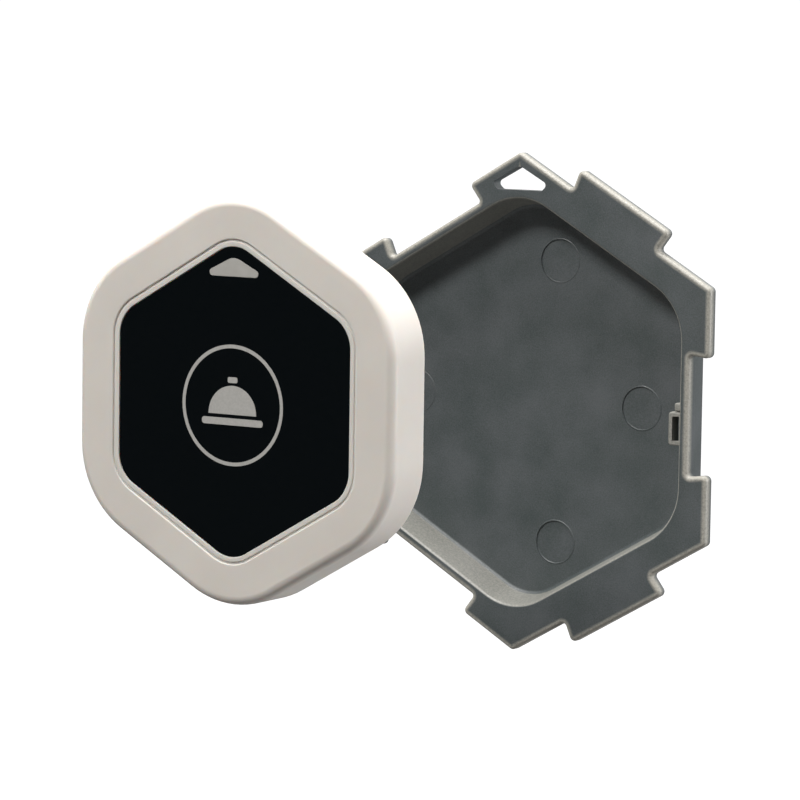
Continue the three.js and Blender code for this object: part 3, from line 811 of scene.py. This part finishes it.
def press_plate(origin):
    """The band round the label stands proud with soft edges, and the label lies in its recess."""
    recess = PLATE_FRONT - LABEL_RECESS
    ledge = OPENING_APOTHEM - LEDGE_GAP
    seat = LABEL_APOTHEM + LABEL_MARGIN
    profile = [
        (CORE, PLATE_BACK, 0),
        (ledge, PLATE_BACK, SMALL_EDGE),
        (ledge, LEDGE_TOP, TINY_EDGE),
        (PLATE_APOTHEM, LEDGE_TOP, TINY_EDGE),
        (PLATE_APOTHEM, PLATE_FRONT, PLATE_EDGE),
        (seat, PLATE_FRONT, LABEL_EDGE),
        (seat, recess, TINY_EDGE),
        (CORE, recess, 0),
    ]
    piece = hexagon_lathe("panel_plate", profile, shrinking_corner(PLATE_APOTHEM, PLATE_CORNER))
    combine(piece, "DIFFERENCE", window_cutter(PLATE_WINDOW_MARGIN))
    finished(piece, origin, "press_panel", "case_plastic", ["press_plate"])


def face_label(origin):
    profile = [
        (CORE, LABEL_BACK, 0),
        (LABEL_APOTHEM, LABEL_BACK, 0),
        (LABEL_APOTHEM, LABEL_TOP, LABEL_EDGE),
        (CORE, LABEL_TOP, 0),
    ]
    piece = hexagon_lathe("black_label", profile, shrinking_corner(LABEL_APOTHEM, LABEL_CORNER))
    combine(piece, "DIFFERENCE", window_cutter(LABEL_WINDOW_MARGIN))
    finished(piece, origin, "press_panel", "label_film", ["face_label"])


def light_window(origin):
    piece = slab("triangle_window", window_corners(), PLATE_BACK - WINDOW_SINK, LABEL_TOP, WINDOW_EDGE, 3)
    finished(piece, origin, "press_panel", "window_plastic", ["light_window"])


def legend(origin):
    """A plain ring round a reception bell, printed on the label."""
    back, front = LABEL_TOP - PRINT_SINK, LABEL_TOP + PRINT_RISE
    outside = circle(RING_RADIUS, steps=RING_STEPS)
    inside = circle(RING_RADIUS - RING_STROKE, steps=RING_STEPS)
    ring = loft("ring", [(outside, back), (outside, front), (inside, front), (inside, back)], closed=True)
    arc = [math.pi * step / DOME_STEPS for step in range(DOME_STEPS + 1)]
    half_circle = [(DOME_RADIUS * math.cos(a), DOME_FOOT + DOME_RADIUS * math.sin(a)) for a in arc]
    dome = loft("dome", [(half_circle, back), (half_circle, front)])
    base = rectangle(-BASE_HALF_WIDTH, BASE_TOP - BASE_HEIGHT, BASE_HALF_WIDTH, BASE_TOP, BASE_ROUND)
    knob_foot = DOME_FOOT + DOME_RADIUS + KNOB_GAP
    knob = rectangle(-KNOB_HALF_WIDTH, knob_foot, KNOB_HALF_WIDTH, knob_foot + KNOB_HEIGHT, KNOB_ROUND)
    plates = [slab("base", base, back, front), slab("knob", knob, back, front)]
    piece = merge("bell_print", [ring, dome, *plates])
    piece.data.transform(Matrix.Translation((0, LEGEND_UP, 0)))
    finished(piece, origin, "press_panel", "window_plastic", material=PRINT_INK)


# --- studio ----------------------------------------------------------------------------------


def camera():
    made = bpy.data.objects.new("camera", bpy.data.cameras.new("camera"))
    bpy.context.scene.collection.objects.link(made)
    azimuth, elevation = math.radians(CAMERA_AZIMUTH), math.radians(CAMERA_ELEVATION)
    level = math.cos(elevation)
    back = Vector((math.sin(azimuth) * level, -math.cos(azimuth) * level, math.sin(elevation)))
    made.location = Vector(AIM) + back * CAMERA_DISTANCE
    upright = (-back).to_track_quat("-Z", "Y").to_matrix().to_4x4()
    tilted = upright @ Matrix.Rotation(math.radians(CAMERA_ROLL), 4, "Z")
    made.rotation_euler = tilted.to_euler()
    made.data.lens = LENS
    made.data.sensor_width = SENSOR
    made.data.clip_start = NEAREST
    made.data.clip_end = FARTHEST
    bpy.context.scene.camera = made


def softbox(name, place, side, watts, colour):
    lamp = bpy.data.lights.new(name, "AREA")
    lamp.shape = "RECTANGLE"
    lamp.size = lamp.size_y = side
    lamp.energy = watts
    lamp.color = colour
    made = bpy.data.objects.new(name, lamp)
    bpy.context.scene.collection.objects.link(made)
    made.location = place
    made.rotation_euler = (Vector(SOFTBOX_AIM) - Vector(place)).to_track_quat("-Z", "Y").to_euler()


def tent_radiance(nodes, links):
    """Adds up the tent's shares and returns the socket with their sum."""
    split = nodes.new("ShaderNodeSeparateXYZ")
    links.new(nodes.new("ShaderNodeTexCoord").outputs["Generated"], split.inputs[0])
    total = None
    for axis, *limits in TENT:
        share = nodes.new("ShaderNodeMapRange")
        share.interpolation_type = "SMOOTHSTEP"
        for socket, value in zip(("From Min", "From Max", "To Min", "To Max"), limits):
            share.inputs[socket].default_value = value
        links.new(split.outputs[axis], share.inputs["Value"])
        if total is None:
            total = share.outputs["Result"]
            continue
        added = nodes.new("ShaderNodeMath")
        links.new(total, added.inputs[0])
        links.new(share.outputs["Result"], added.inputs[1])
        total = added.outputs[0]
    return total


def world():
    """White to the camera. As light it is strongest behind and above, as in a light tent."""
    made = bpy.data.worlds.new("studio")
    bpy.context.scene.world = made
    made.use_nodes = True
    nodes, links = made.node_tree.nodes, made.node_tree.links
    nodes.clear()
    radiance = tent_radiance(nodes, links)
    lighting, seen = nodes.new("ShaderNodeBackground"), nodes.new("ShaderNodeBackground")
    for background in (lighting, seen):
        background.inputs["Color"].default_value = (1, 1, 1, 1)
    links.new(radiance, lighting.inputs["Strength"])
    seen.inputs["Strength"].default_value = BACKDROP
    mix = nodes.new("ShaderNodeMixShader")
    links.new(nodes.new("ShaderNodeLightPath").outputs["Is Camera Ray"], mix.inputs[0])
    links.new(lighting.outputs[0], mix.inputs[1])
    links.new(seen.outputs[0], mix.inputs[2])
    links.new(mix.outputs[0], nodes.new("ShaderNodeOutputWorld").inputs["Surface"])


def floor():
    """A pale floor below the held part, which runs into the white of the tent."""
    bm = bmesh.new()
    bmesh.ops.create_grid(bm, x_segments=8, y_segments=8, size=FLOOR_SIZE)
    made = new_object("floor", bm)
    made.location.z = cad_box[0].z - FLOOR_DROP
    s = Shader("floor", Roughness=0.9, Specular_IOR_Level=0.1)
    s.colour(s.noise(900, 2), (0.12, 0.12, 0.12), (0.13, 0.13, 0.13))
    s.principled.inputs["Emission Color"].default_value = (1, 1, 1, 1)
    camera_ray = s.node("ShaderNodeLightPath").outputs["Is Camera Ray"]
    s.link(camera_ray, s.principled.inputs["Emission Strength"])
    made.data.materials.append(s.material)


def main():
    bpy.context.scene.view_settings.view_transform = "Standard"
    camera()
    world()
    floor()
    for box in SOFTBOXES:
        softbox(*box)
    dress_cad_nodes()
    bracket()
    origin = transmitter_origin()
    case_front(origin)
    case_back(origin)
    rating_sticker(origin)
    cover_screws(origin)
    press_plate(origin)
    face_label(origin)
    light_window(origin)
    legend(origin)


main()
